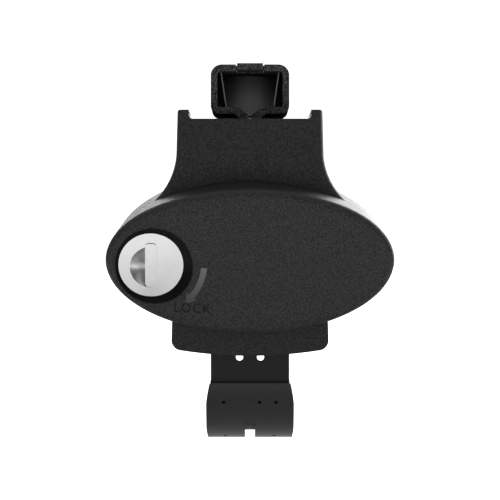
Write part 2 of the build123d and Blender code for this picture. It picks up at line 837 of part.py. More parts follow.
def lock_sleeve():
    """Bush in the cover's boss that the knob's shaft turns in."""
    start = knob_depth + knob_thickness + knob_seat_gap
    ring = Circle(lock_axis_radius + sleeve_wall) - Circle(lock_axis_radius + running_gap)
    return extrude(lock_plane(start) * ring, amount=-sleeve_length)


def lock_knob():
    """Turn knob: disc with a half-moon finger recess, a grip bar, a shaft and a square drive."""
    back = knob_depth + knob_thickness
    disc = extrude(lock_plane(back) * Circle(knob_diameter / 2), amount=knob_thickness)
    rim = disc.edges().sort_by(Axis((0, 0, 0), (0, -math.cos(tilt), -math.sin(tilt))))[-1]
    disc = chamfer(rim, knob_edge)
    bowl_radius = (finger_radius**2 + finger_depth**2) / (2 * finger_depth)
    bowl = Pos(0, finger_drop, bowl_radius - finger_depth) * Sphere(bowl_radius)
    bowl &= Pos(-bowl_radius, finger_drop, 0) * Box(2 * bowl_radius, 2 * bowl_radius, 2 * bowl_radius)
    disc -= lock_plane(knob_depth) * bowl
    grip = extrude(
        lock_plane(back) * RectangleRounded(grip_width, grip_height, grip_width / 3),
        amount=knob_thickness + grip_rise,
    )
    shaft_end = back + knob_seat_gap + sleeve_length + cam_gap
    shaft = extrude(lock_plane(shaft_end) * Circle(lock_axis_radius), amount=shaft_end - back)
    square = extrude(lock_plane(shaft_end) * Rectangle(cam_square, cam_square), amount=-cam_thickness)
    knob = disc + grip + shaft + square
    hole = lock_plane(shaft_end + cam_thickness) * Circle(cam_screw_diameter / 2 + thread_gap)
    return knob - extrude(hole, amount=cam_screw_length)


def lock_cam():
    """Latch plate on the knob's square drive, pointing inwards when locked."""
    shaft_end = knob_depth + knob_thickness + knob_seat_gap + sleeve_length + cam_gap
    tip = cam_length - cam_width / 2
    hub = Circle(cam_hub_diameter / 2)
    plate = hub + Pos(tip / 2, 0) * Rectangle(tip, cam_width) + Pos(tip, 0) * Circle(cam_width / 2)
    drive = Rectangle(cam_square + 2 * cam_gap, cam_square + 2 * cam_gap)
    return extrude(lock_plane(shaft_end) * (plate - drive), amount=-cam_thickness)


def cam_screw():
    """Screw that holds the latch plate on the knob's shaft."""
    seat = knob_depth + knob_thickness + knob_seat_gap + sleeve_length + 2 * cam_gap + cam_thickness
    head = extrude(lock_plane(seat) * Circle(cam_screw_head / 2), amount=-cam_screw_head_height)
    reach = cam_screw_length - cam_thickness
    shank = extrude(lock_plane(seat) * Circle(cam_screw_diameter / 2), amount=reach)
    return head + shank


NODES = {
    "housing": housing,
    "front_cover": front_cover,
    "rail_pad": rail_pad,
    "chassis": chassis,
    "chassis_screws": chassis_screws,
    "bar_clamp": bar_clamp,
    "clamp_plug": clamp_plug,
    "tension_bolt": tension_bolt,
    "thrust_washer": thrust_washer,
    "tension_pin": tension_pin,
    "tension_pin_clips": tension_pin_clips,
    "trunnion_nut": trunnion_nut,
    "draw_spring": draw_spring,
    "strap_band": strap_band,
    "strap_sleeve": strap_sleeve,
    "anchor_pin": anchor_pin,
    "anchor_pin_clips": anchor_pin_clips,
    "lock_sleeve": lock_sleeve,
    "lock_knob": lock_knob,
    "lock_cam": lock_cam,
    "cam_screw": cam_screw,
}


def main():
    """Build every piece and write it to its own file."""
    os.makedirs("parts", exist_ok=True)
    for name, make in NODES.items():
        made = make()
        shape = Compound(children=made) if isinstance(made, list) else made
        export_step(shape, f"parts/{name}.step")


if __name__ == "__main__":
    main()
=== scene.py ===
import json
import logging
import math
from dataclasses import dataclass, field
from enum import Enum

import bmesh
import bpy
from mathutils import Matrix, Vector


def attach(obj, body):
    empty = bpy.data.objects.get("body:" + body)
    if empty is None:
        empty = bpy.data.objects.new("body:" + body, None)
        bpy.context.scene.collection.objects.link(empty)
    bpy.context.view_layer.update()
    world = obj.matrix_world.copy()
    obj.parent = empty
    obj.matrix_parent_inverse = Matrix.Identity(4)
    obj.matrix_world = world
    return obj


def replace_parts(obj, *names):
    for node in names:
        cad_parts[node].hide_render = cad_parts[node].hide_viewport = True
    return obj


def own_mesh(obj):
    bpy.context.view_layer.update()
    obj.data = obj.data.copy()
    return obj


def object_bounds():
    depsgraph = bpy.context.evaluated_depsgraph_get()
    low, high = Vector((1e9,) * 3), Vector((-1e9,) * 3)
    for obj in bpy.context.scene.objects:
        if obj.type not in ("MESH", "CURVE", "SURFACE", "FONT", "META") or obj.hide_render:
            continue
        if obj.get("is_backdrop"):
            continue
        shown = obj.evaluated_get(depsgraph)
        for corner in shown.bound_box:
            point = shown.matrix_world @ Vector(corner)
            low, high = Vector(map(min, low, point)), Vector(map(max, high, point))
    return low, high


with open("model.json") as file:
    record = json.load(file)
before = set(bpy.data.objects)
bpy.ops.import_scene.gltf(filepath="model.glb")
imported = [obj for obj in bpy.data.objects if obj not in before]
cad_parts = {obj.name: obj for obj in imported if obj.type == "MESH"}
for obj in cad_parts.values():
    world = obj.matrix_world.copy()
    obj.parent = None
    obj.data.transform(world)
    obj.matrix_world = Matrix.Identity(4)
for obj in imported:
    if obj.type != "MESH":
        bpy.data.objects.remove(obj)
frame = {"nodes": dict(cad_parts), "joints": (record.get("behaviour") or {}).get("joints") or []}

# Looks of a roof bar foot. Metres, in the frame's own axes: X along the roof rail, Y away from the
# cover and Z up, with the origin on the axis of the rail.

MM = 0.001
LOG = logging.getLogger("roof_bar_foot")

Colour = tuple[float, float, float]
Range = tuple[float, float]
Outline = list[tuple[float, float]]


def grey(level: float) -> Colour:
    """Make a neutral colour."""
    return (level, level, level)


class Slot(Enum):
    """Material slots of the record."""

    BLACK_PLASTIC = "black_plastic"
    COVER_PLASTIC = "cover_plastic"
    BLACK_STEEL = "black_steel"
    ZINC_STEEL = "zinc_steel"
    RUBBER = "rubber"
    SILVER = "silver"


class Body(Enum):
    """Bodies of the frame that carry pieces made here."""

    COVER = "cover"
    CLAMP = "clamp"
    BOLT = "bolt"
    TENSIONER = "tensioner"


class NodeMaker:
    """Small helper that adds and joins nodes in one tree, of shaders or of geometry."""

    def __init__(self, tree: bpy.types.NodeTree) -> None:
        """Keep the tree that the nodes go into."""
        self.tree = tree

    def add(self, kind: str, **settings: object) -> bpy.types.Node:
        """Add a node and set its properties.

        Args:
            kind: Blender's name for the type of node.
            settings: properties of the node by name.

        Returns:
            The new node.
        """
        node = self.tree.nodes.new(kind)
        for name, value in settings.items():
            setattr(node, name, value)
        return node

    def join(self, source: bpy.types.NodeSocket, target: bpy.types.NodeSocket) -> None:
        """Link an output to an input."""
        self.tree.links.new(source, target)

    def feed(self, value: object, target: bpy.types.NodeSocket) -> None:
        """Link a socket to an input, or set the input to a plain value."""
        if isinstance(value, bpy.types.NodeSocket):
            self.join(value, target)
        else:
            target.default_value = value

    def maths(self, operation: str, first: object, second: object = 0.0) -> bpy.types.NodeSocket:
        """Combine two values.

        Args:
            operation: name of the Math node's operation.
            first: a socket or a number.
            second: a socket or a number.

        Returns:
            The socket that holds the result.
        """
        node = self.add("ShaderNodeMath", operation=operation)
        self.feed(first, node.inputs[0])
        self.feed(second, node.inputs[1])
        return node.outputs[0]

    def spread(self, value: bpy.types.NodeSocket, start: Range, end: Range) -> bpy.types.NodeSocket:
        """Map one range of values to another, held at its ends.

        Args:
            value: the socket to map.
            start: its low and high values.
            end: what they become.

        Returns:
            The socket that holds the result.
        """
        node = self.add("ShaderNodeMapRange", clamp=True)
        self.join(value, node.inputs["Value"])
        node.inputs["From Min"].default_value, node.inputs["From Max"].default_value = start
        node.inputs["To Min"].default_value, node.inputs["To Max"].default_value = end
        return node.outputs["Result"]

    def ramp(self, factor: bpy.types.NodeSocket, low: Colour, high: Colour) -> bpy.types.NodeSocket:
        """Blend two colours by a factor.

        Args:
            factor: socket from 0 to 1.
            low: colour at 0, as red, green and blue.
            high: colour at 1, as red, green and blue.

        Returns:
            The socket that holds the colour.
        """
        node = self.add("ShaderNodeMix", data_type="RGBA")
        node.inputs["A"].default_value = (*low, 1.0)
        node.inputs["B"].default_value = (*high, 1.0)
        self.join(factor, node.inputs["Factor"])
        return node.outputs["Result"]


class SurfaceEffects:
    """Shader node groups that several finishes share."""

    GRAIN = "mould_grain"
    CLOUD = "soft_cloud"
    GRAIN_SCALE = 2600.0
    FLECK_SCALE = 3600.0
    FLECK_DETAIL = 1.0
    FLECK_RANGE = (0.36, 0.66)
    CLOUD_SCALE = 120.0
    CLOUD_DETAIL = 3.0
    CLOUD_RANGE = (0.3, 0.7)

    def __init__(self) -> None:
        """Build every group once."""
        self.grain = self._make_grain()
        self.cloud = self._make_cloud()

    def _new_group(self, name: str, inputs: dict[str, float], outputs: tuple[str, ...]) -> NodeMaker:
        """Start a node group with value sockets.

        Args:
            name: name of the group.
            inputs: default value of each input by name.
            outputs: names of the outputs.

        Returns:
            The helper on the group's tree.
        """
        tree = bpy.data.node_groups.new(name, "ShaderNodeTree")
        for label, value in inputs.items():
            socket = tree.interface.new_socket(label, in_out="INPUT", socket_type="NodeSocketFloat")
            socket.default_value = value
        for label in outputs:
            tree.interface.new_socket(label, in_out="OUTPUT", socket_type="NodeSocketFloat")
        return NodeMaker(tree)

    def _make_grain(self) -> bpy.types.NodeTree:
        """Fine pebbled grain of a mould or of powder paint.

        Returns:
            The group, which puts out a height and a mask of pale flecks.
        """
        scales = {"Scale": self.GRAIN_SCALE, "Fleck Scale": self.FLECK_SCALE}
        maker = self._new_group(self.GRAIN, scales, ("Height", "Fleck"))
        inlet = maker.add("NodeGroupInput")
        outlet = maker.add("NodeGroupOutput")
        place = maker.add("ShaderNodeTexCoord").outputs["Object"]
        pebbles = maker.add("ShaderNodeTexVoronoi", feature="SMOOTH_F1")
        maker.join(place, pebbles.inputs["Vector"])
        maker.join(inlet.outputs["Scale"], pebbles.inputs["Scale"])
        flecks = maker.add("ShaderNodeTexNoise")
        flecks.inputs["Detail"].default_value = self.FLECK_DETAIL
        maker.join(place, flecks.inputs["Vector"])
        maker.join(inlet.outputs["Fleck Scale"], flecks.inputs["Scale"])
        maker.join(pebbles.outputs["Distance"], outlet.inputs["Height"])
        mask = maker.spread(flecks.outputs["Fac"], self.FLECK_RANGE, (0.0, 1.0))
        maker.join(mask, outlet.inputs["Fleck"])
        return maker.tree

    def _make_cloud(self) -> bpy.types.NodeTree:
        """Soft, uneven sheen of handled or plated metal.

        Returns:
            The group, which puts out a slow mask from 0 to 1.
        """
        maker = self._new_group(self.CLOUD, {"Scale": self.CLOUD_SCALE}, ("Mask",))
        inlet = maker.add("NodeGroupInput")
        outlet = maker.add("NodeGroupOutput")
        place = maker.add("ShaderNodeTexCoord").outputs["Object"]
        noise = maker.add("ShaderNodeTexNoise")
        noise.inputs["Detail"].default_value = self.CLOUD_DETAIL
        maker.join(place, noise.inputs["Vector"])
        maker.join(inlet.outputs["Scale"], noise.inputs["Scale"])
        mask = maker.spread(noise.outputs["Fac"], self.CLOUD_RANGE, (0.0, 1.0))
        maker.join(mask, outlet.inputs["Mask"])
        return maker.tree


def new_material(name: str) -> tuple[bpy.types.Material, NodeMaker, bpy.types.Node]:
    """Start a material.

    Args:
        name: name of the material.

    Returns:
        The material, the helper on its tree and its Principled shader.
    """
    made = bpy.data.materials.new(name)
    made.use_nodes = True
    return made, NodeMaker(made.node_tree), made.node_tree.nodes["Principled BSDF"]


@dataclass(frozen=True)
class GrainedFinish:
    """Black moulding, paint or rubber with a fine grain."""

    name: str
    dark: Colour
    pale: Colour
    shine: float
    grain_strength: float
    roughness: float = 0.5
    grain_scale: float = 3200.0
    soft_edge: float = 0.0
    grain_height: float = 0.1 * MM

    def material(self, effects: SurfaceEffects) -> bpy.types.Material:
        """Make the finish from the shared node groups."""
        made, maker, surface = new_material(self.name)
        grain = maker.add("ShaderNodeGroup", node_tree=effects.grain)
        grain.inputs["Scale"].default_value = self.grain_scale
        grain.inputs["Fleck Scale"].default_value = self.grain_scale
        colour = maker.ramp(grain.outputs["Fleck"], self.dark, self.pale)
        maker.join(colour, surface.inputs["Base Color"])
        surface.inputs["Roughness"].default_value = self.roughness
        surface.inputs["Specular IOR Level"].default_value = self.shine
        bump = maker.add("ShaderNodeBump")
        bump.inputs["Strength"].default_value = self.grain_strength
        bump.inputs["Distance"].default_value = self.grain_height
        maker.join(grain.outputs["Height"], bump.inputs["Height"])
        if self.soft_edge:
            edge = maker.add("ShaderNodeBevel")
            edge.inputs["Radius"].default_value = self.soft_edge
            maker.join(edge.outputs["Normal"], bump.inputs["Normal"])
        maker.join(bump.outputs["Normal"], surface.inputs["Normal"])
        return made


@dataclass(frozen=True)
class MetalFinish:
    """Bare or plated metal with an uneven sheen."""

    name: str
    dark: Colour
    pale: Colour
    smooth: float
    rough: float
    cloud_scale: float

    def material(self, effects: SurfaceEffects) -> bpy.types.Material:
        """Make the finish from the shared node groups."""
        made, maker, surface = new_material(self.name)
        cloud = maker.add("ShaderNodeGroup", node_tree=effects.cloud)
        cloud.inputs["Scale"].default_value = self.cloud_scale
        colour = maker.ramp(cloud.outputs["Mask"], self.dark, self.pale)
        maker.join(colour, surface.inputs["Base Color"])
        share = maker.maths("MULTIPLY", cloud.outputs["Mask"], self.rough - self.smooth)
        maker.join(maker.maths("ADD", share, self.smooth), surface.inputs["Roughness"])
        surface.inputs["Metallic"].default_value = 1.0
        return made


@dataclass(frozen=True)
class PrintFinish:
    """Matt print that fades from one height to another."""

    name: str
    high_colour: Colour
    low_colour: Colour
    high: float
    low: float
    smooth: float = 0.5
    unevenness: float = 0.2
    shine: float = 0.2

    def material(self, effects: SurfaceEffects) -> bpy.types.Material:
        """Make the finish from the shared node groups, whose grain roughens the print."""
        made, maker, surface = new_material(self.name)
        place = maker.add("ShaderNodeTexCoord").outputs["Object"]
        axes = maker.add("ShaderNodeSeparateXYZ")
        maker.join(place, axes.inputs["Vector"])
        fade = maker.spread(axes.outputs["Z"], (self.low, self.high), (0.0, 1.0))
        colour = maker.ramp(fade, self.low_colour, self.high_colour)
        maker.join(colour, surface.inputs["Base Color"])
        grain = maker.add("ShaderNodeGroup", node_tree=effects.grain)
        rough = maker.maths("MULTIPLY", grain.outputs["Fleck"], self.unevenness)
        maker.join(maker.maths("ADD", rough, self.smooth), surface.inputs["Roughness"])
        surface.inputs["Specular IOR Level"].default_value = self.shine
        return made


@dataclass(frozen=True)
class PlainFinish:
    """Matt finish that is the same all over."""

    name: str
    colour: Colour
    roughness: float
    shine: float

    def material(self) -> bpy.types.Material:
        """Make the finish."""
        made, _, surface = new_material(self.name)
        surface.inputs["Base Color"].default_value = (*self.colour, 1.0)
        surface.inputs["Roughness"].default_value = self.roughness
        surface.inputs["Specular IOR Level"].default_value = self.shine
        return made


class Finishes:
    """Every finish of the foot, made once."""

    def __init__(self, effects: SurfaceEffects) -> None:
        """Make the materials of the record's slots.

        Args:
            effects: the shared node groups.
        """
        self.by_slot = {slot: finish.material(effects) for slot, finish in self.recipes().items()}
        self.by_node = {node: finish.material(effects) for node, finish in self.exceptions().items()}

    @staticmethod
    def recipes() -> dict[Slot, GrainedFinish | MetalFinish]:
        """Give each slot its finish.

        Returns:
            The finishes by slot.
        """
        return {
            Slot.BLACK_PLASTIC: GrainedFinish(
                "grained_black_plastic",
                dark=grey(0.006),
                pale=grey(0.026),
                shine=0.27,
                grain_scale=2600.0,
                grain_strength=0.004,
            ),
            Slot.COVER_PLASTIC: GrainedFinish(
                "cover_black_plastic",
                dark=grey(0.005),
                pale=grey(0.029),
                shine=0.27,
                grain_scale=2400.0,
                grain_strength=0.2,
                soft_edge=3.0 * MM,
            ),
            Slot.BLACK_STEEL: GrainedFinish(
                "powder_coated_steel",
                dark=grey(0.004),
                pale=grey(0.07),
                shine=0.0,
                grain_scale=2200.0,
                grain_strength=0.4,
            ),
            Slot.RUBBER: GrainedFinish(
                "black_rubber",
                dark=grey(0.003),
                pale=grey(0.005),
                roughness=0.35,
                shine=0.45,
                grain_strength=0.05,
            ),
            Slot.ZINC_STEEL: MetalFinish(
                "zinc_plated_steel",
                dark=grey(0.5),
                pale=(0.62, 0.62, 0.6),
                smooth=0.28,
                rough=0.42,
                cloud_scale=150.0,
            ),
            Slot.SILVER: MetalFinish(
                "satin_silver",
                dark=grey(0.5),
                pale=grey(0.59),
                smooth=0.18,
                rough=0.28,
                cloud_scale=160.0,
            ),
        }

    @staticmethod
    def exceptions() -> dict[str, GrainedFinish]:
        """Give the nodes that look smoother than the rest of their slot a finish of their own.

        Returns:
            The finishes by node.
        """
        return {
            "strap_band": GrainedFinish(
                "smooth_coated_steel",
                dark=grey(0.016),
                pale=grey(0.018),
                roughness=0.45,
                shine=0.16,
                grain_strength=0.05,
            ),
        }

    @staticmethod
    def dish() -> GrainedFinish:
        """Give the insert in the clamp's channel its smooth finish: black plastic painted a lighter
        grey, as painted light for the light that falls into the channel.
        """
        return GrainedFinish(
            "black_plastic_painted_light",
            # painted light: these greys are far lighter than the black plastic, so the insert looks lit
            dark=grey(0.13),
            pale=grey(0.136),
            roughness=0.4,
            shine=0.5,
            grain_strength=0.03,
        )

    @staticmethod
    def recess() -> GrainedFinish:
        """Give the near-black of the ring in the recess round the lock, which is painted shade that
        darkens the recess.
        """
        return GrainedFinish(
            "recess_painted_shade",
            # painted shade: near-black that darkens the recess round the lock
            dark=grey(0.002),
            pale=grey(0.003),
            shine=0.1,
            grain_strength=0.02,
        )

    @staticmethod
    def word() -> PlainFinish:
        """Give the matt black of the word."""
        return PlainFinish("word_black", colour=grey(0.003), roughness=0.6, shine=0.2)

    def dress(self, node: str, slot: Slot) -> None:
        """Give a CAD node its own finish or that of its slot.

        Args:
            node: name of the node.
            slot: its material slot.
        """
        mesh = frame["nodes"][node].data
        mesh.materials.clear()
        mesh.materials.append(self.by_node.get(node, self.by_slot[slot]))
        LOG.info("%s is dressed as %s", node, slot.value)


def add_piece(
    mesh: bpy.types.Mesh, material: bpy.types.Material, body: Body
) -> bpy.types.Object:
    """Put a finished mesh in the scene as a piece of the foot.

    Args:
        mesh: the mesh, with its place in its points.
        material: its finish.
        body: the body that carries it.

    Returns:
        The new object.
    """
    mesh.materials.clear()
    mesh.materials.append(material)
    piece = bpy.data.objects.new(mesh.name, mesh)
    bpy.context.scene.collection.objects.link(piece)
    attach(piece, body.value)
    LOG.info("%s rides on %s", piece.name, body.value)
    return piece


@dataclass
class CadGroup:
    """Nodes of one sub-assembly that keep their CAD shape."""

    title: str
    nodes: dict[str, Slot]

    def dress(self, finishes: Finishes) -> None:
        """Dress every node of the group in the foot's finishes."""
        LOG.info("dressing the %s", self.title)
        for node, slot in self.nodes.items():
            finishes.dress(node, slot)


@dataclass
class ChannelDish:
    """Smooth insert of the clamp's channel: a dish between thin walls, a keel and two ribs on top."""

    half_width: float = 11.3 * MM
    front: float = -12.0 * MM
    back: float = 24.0 * MM
    slot_depth: float = 20.0 * MM
    top: float = 106.2 * MM
    floor: float = 94.05 * MM
    foot: float = 90.9 * MM
    keel_half: float = 4.1 * MM
    rim_top_half: float = 9.9 * MM
    rim_low_half: float = 8.1 * MM
    rim: float = 0.35 * MM
    step: float = 0.05 * MM
    dish_top: float = 8.0 * MM
    dish_foot: float = -12.5 * MM
    dish_curve: float = 1.1
    side_sink: float = 9.0 * MM
    low_sink: float = 0.35
    rows: int = 24
    columns: int = 16
    crease: float = math.radians(35.0)
    rib_middle: float = 4.725 * MM
    rib_width: float = 0.38 * MM
    rib_front: float = -9.5 * MM
    rib_back: float = -4.05 * MM
    rib_foot: float = 106.55 * MM
    rib_top: float = 108.78 * MM

    def depth(self, height: float, share: float, sink: float) -> float:
        """Find how deep the dish lies.

        Args:
            height: height above the rail.
            share: place across the dish, from -1 to 1.
            sink: how much deeper its sides lie than its middle.

        Returns:
            The place along Y.
        """
        rise = (height - self.foot) / (self.top - self.foot)
        middle = self.dish_foot + (self.dish_top - self.dish_foot) * rise**self.dish_curve
        return max(self.front, middle + sink * (self.low_sink + rise) * share**2)

    def row(self, height: float) -> Outline:
        """Draw the insert's front at one height, from left to right.

        Args:
            height: height above the rail.

        Returns:
            Pairs of X and Y.
        """
        share = (height - self.floor) / (self.top - self.floor)
        half = self.rim_low_half + share * (self.rim_top_half - self.rim_low_half)
        outer = half + self.rim
        right = [(half, self.front), (outer, self.front), (outer + self.step, self.slot_depth)]
        right.append((self.half_width, self.slot_depth))
        left = [(-x, y) for x, y in reversed(right)]
        return left + self.hollow(height, half - self.step, self.side_sink) + right

    def hollow(self, height: float, half: float, sink: float) -> Outline:
        """Draw the dish itself at one height.

        Args:
            height: height above the rail.
            half: half its width there.
            sink: how much deeper its sides lie than its middle.

        Returns:
            Pairs of X and Y.
        """
        shares = [2.0 * index / self.columns - 1.0 for index in range(self.columns + 1)]
        return [(share * half, self.depth(height, share, sink)) for share in shares]

    def shell(self, form: bmesh.types.BMesh, lines: list[tuple[float, Outline]]) -> None:
        """Add a closed block whose front follows rows of points.

        Args:
            form: the mesh that is being made.
            lines: height of each row and its pairs of X and Y, all of the same length.
        """
        fronts = [[form.verts.new((x, y, height)) for x, y in line] for height, line in lines]
        backs = [[form.verts.new((x, self.back, height)) for x, _ in line] for height, line in lines]
        for grid in (fronts, backs):
            for low, high in zip(grid, grid[1:]):
                for spot in range(len(low) - 1):
                    form.faces.new((low[spot], low[spot + 1], high[spot + 1], high[spot]))
        edge = [fronts[0], [line[-1] for line in fronts], fronts[-1], [line[0] for line in fronts]]
        rear = [backs[0], [line[-1] for line in backs], backs[-1], [line[0] for line in backs]]
        for near, far in zip(edge, rear):
            for spot in range(len(near) - 1):
                form.faces.new((near[spot], near[spot + 1], far[spot + 1], far[spot]))

    def add_ribs(self, form: bmesh.types.BMesh) -> None:
        """Add the two ribs that fill the slits beside the clamp's tongue."""
        low = Vector((self.rib_middle - self.rib_width / 2, self.rib_front, self.rib_foot))
        high = Vector((self.rib_middle + self.rib_width / 2, self.rib_back, self.rib_top))
        middle = (low + high) / 2
        size = Matrix.Diagonal((*(high - low), 1.0))
        for side in (-1.0, 1.0):
            place = Matrix.Translation((side * middle.x, middle.y, middle.z))
            bmesh.ops.create_cube(form, size=1.0, matrix=place @ size)

    def build(self, material: bpy.types.Material) -> bpy.types.Object:
        """Make the insert.

        Args:
            material: its finish.

        Returns:
            The insert.
        """
        form = bmesh.new()
        shares = [index / self.rows for index in range(self.rows + 1)]
        heights = [self.floor + share * (self.top - self.floor) for share in shares]
        self.shell(form, [(height, self.row(height)) for height in heights])
        low = self.foot + self.step
        slope = self.keel_half / (self.floor - self.foot)
        keel = []
        for share in shares:
            height = low + share * (self.floor - low)
            keel.append((height, self.hollow(height, (height - self.foot) * slope, 0.0)))
        self.shell(form, keel)
        self.add_ribs(form)
        bmesh.ops.recalc_face_normals(form, faces=form.faces)
        mesh = bpy.data.meshes.new("channel_dish")
        form.to_mesh(mesh)
        form.free()
        mesh.shade_smooth()
        mesh.set_sharp_from_angle(angle=self.crease)
        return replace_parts(add_piece(mesh, material, Body.CLAMP), "clamp_plug")


class BoltAxis:
    """Axis of the draw bolt, taken from its joint: it points out of the foot, to the bolt's head."""

    JOINT = "bolt_spin"

    def __init__(self) -> None:
        """Find the joint in the frame."""
        joint = next(joint for joint in frame["joints"] if joint["name"] == self.JOINT)
        self.way = Vector(joint["axis"])
        self.start = Vector(joint["pos_m"])

    def point(self, offset: float) -> Vector:
        """Find a place on the axis."""
        return self.start + self.way * offset

    def placed(self, offset: float) -> Matrix:
        """Turn an upright shape onto the axis with its origin at a place on it."""
        turn = self.way.to_track_quat("Z", "Y").to_matrix().to_4x4()
        return Matrix.Translation(self.point(offset)) @ turn


class GeometryGrower:
    """Geometry tree that is built node by node and grown into one plain mesh on the bolt's axis."""

    def __init__(self, name: str, inputs: dict[str, int | float]) -> None:
        """Start a tree.

        Args:
            name: name of the tree and of the mesh.
            inputs: value of each of the tree's inputs by name, whole numbers for counts.
        """
        self.name = name
        self.values = inputs
        self.tree = bpy.data.node_groups.new(f"{name}_tree", "GeometryNodeTree")
        for label, value in inputs.items():
            kind = "Int" if isinstance(value, int) else "Float"
            self.tree.interface.new_socket(label, in_out="INPUT", socket_type=f"NodeSocket{kind}")
        self.tree.interface.new_socket("Geometry", in_out="OUTPUT", socket_type="NodeSocketGeometry")
        self.maker = NodeMaker(self.tree)
        self.inlet = self.maker.add("NodeGroupInput")

    def helix(self, radius: float, steps: int, wire: float, sides: int) -> bpy.types.NodeSocket:
        """Sweep a wire along an upright helix with the tree's inputs Pitch and Turns.

        Args:
            radius: radius of the helix.
            steps: points in one turn.
            wire: radius of the wire.
            sides: sides of the wire.

        Returns:
            The socket that holds the swept wire.
        """
        pitch, turns = self.inlet.outputs["Pitch"], self.inlet.outputs["Turns"]
        coil = self.maker.add("GeometryNodeCurveSpiral")
        coil.inputs["Resolution"].default_value = steps
        coil.inputs["Start Radius"].default_value = radius
        coil.inputs["End Radius"].default_value = radius
        self.maker.join(turns, coil.inputs["Rotations"])
        self.maker.join(self.maker.maths("MULTIPLY", pitch, turns), coil.inputs["Height"])
        upright = self.maker.add("GeometryNodeSetCurveNormal", mode="Z_UP")
        self.maker.join(coil.outputs["Curve"], upright.inputs["Curve"])
        ring = self.maker.add("GeometryNodeCurvePrimitiveCircle")
        ring.inputs["Resolution"].default_value = sides
        ring.inputs["Radius"].default_value = wire
        sweep = self.maker.add("GeometryNodeCurveToMesh")
        sweep.inputs["Fill Caps"].default_value = True
        self.maker.join(upright.outputs["Curve"], sweep.inputs["Curve"])
        self.maker.join(ring.outputs["Curve"], sweep.inputs["Profile Curve"])
        return sweep.outputs["Mesh"]

    def raised(self, shape: bpy.types.NodeSocket, height: float) -> bpy.types.NodeSocket:
        """Move a shape up the axis.

        Args:
            shape: the socket that holds it.
            height: how far it goes.

        Returns:
            The socket that holds the moved shape.
        """
        move = self.maker.add("GeometryNodeTransform")
        self.maker.join(shape, move.inputs["Geometry"])
        move.inputs["Translation"].default_value = (0.0, 0.0, height)
        return move.outputs["Geometry"]

    def finish(self, shapes: list[bpy.types.NodeSocket], material: bpy.types.Material) -> None:
        """Join the shapes, make instances real and give them their finish.

        Args:
            shapes: sockets that hold the shapes.
            material: the finish.
        """
        gather = self.maker.add("GeometryNodeJoinGeometry")
        for shape in shapes:
            self.maker.join(shape, gather.inputs["Geometry"])
        real = self.maker.add("GeometryNodeRealizeInstances")
        self.maker.join(gather.outputs["Geometry"], real.inputs["Geometry"])
        paint = self.maker.add("GeometryNodeSetMaterial")
        paint.inputs["Material"].default_value = material
        self.maker.join(real.outputs["Geometry"], paint.inputs["Geometry"])
        outlet = self.maker.add("NodeGroupOutput")
        self.maker.join(paint.outputs["Geometry"], outlet.inputs["Geometry"])

    def grow(self, axis: BoltAxis, offset: float) -> bpy.types.Mesh:
        """Grow the mesh and set it on the bolt's axis.

        Args:
            axis: the bolt's axis.
            offset: place of the tree's origin along it.

        Returns:
            The mesh.
        """
        seed = bpy.data.objects.new(f"{self.name}_seed", bpy.data.meshes.new(f"{self.name}_seed"))
        bpy.context.scene.collection.objects.link(seed)
        growth = seed.modifiers.new("growth", "NODES")
        growth.node_group = self.tree
        for item in self.tree.interface.items_tree:
            if item.name in self.values:
                growth[item.identifier] = self.values[item.name]
        grown = seed.evaluated_get(bpy.context.evaluated_depsgraph_get())
        mesh = bpy.data.meshes.new_from_object(grown)
        mesh.name = self.name
        bpy.data.objects.remove(seed)
        mesh.transform(axis.placed(offset))
        return mesh


@dataclass
class DrawSpring:
    """Coil spring between the tension pin and the nut: it shortens as the nut is drawn down."""

    near: float = -4.55 * MM
    far: float = -16.25 * MM
    wire: float = 0.5 * MM
    radius: float = 3.9 * MM
    turns: float = 4.0
    nut_travel: float = 2.2 * MM
    steps: int = 40
    sides: int = 16

    def build(self, material: bpy.types.Material) -> bpy.types.Object:
        """Grow the spring and set it on the bolt's axis.

        Args:
            material: its finish.

        Returns:
            The spring.
        """
        length = self.near - self.far
        grower = GeometryGrower("coil_spring", {"Pitch": length / self.turns, "Turns": self.turns})
        grower.finish([grower.helix(self.radius, self.steps, self.wire, self.sides)], material)
        axis = BoltAxis()
        mesh = grower.grow(axis, self.far)
        mesh.shade_smooth()
        spring = add_piece(mesh, material, Body.TENSIONER)
        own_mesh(spring)
        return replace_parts(spring, "draw_spring")


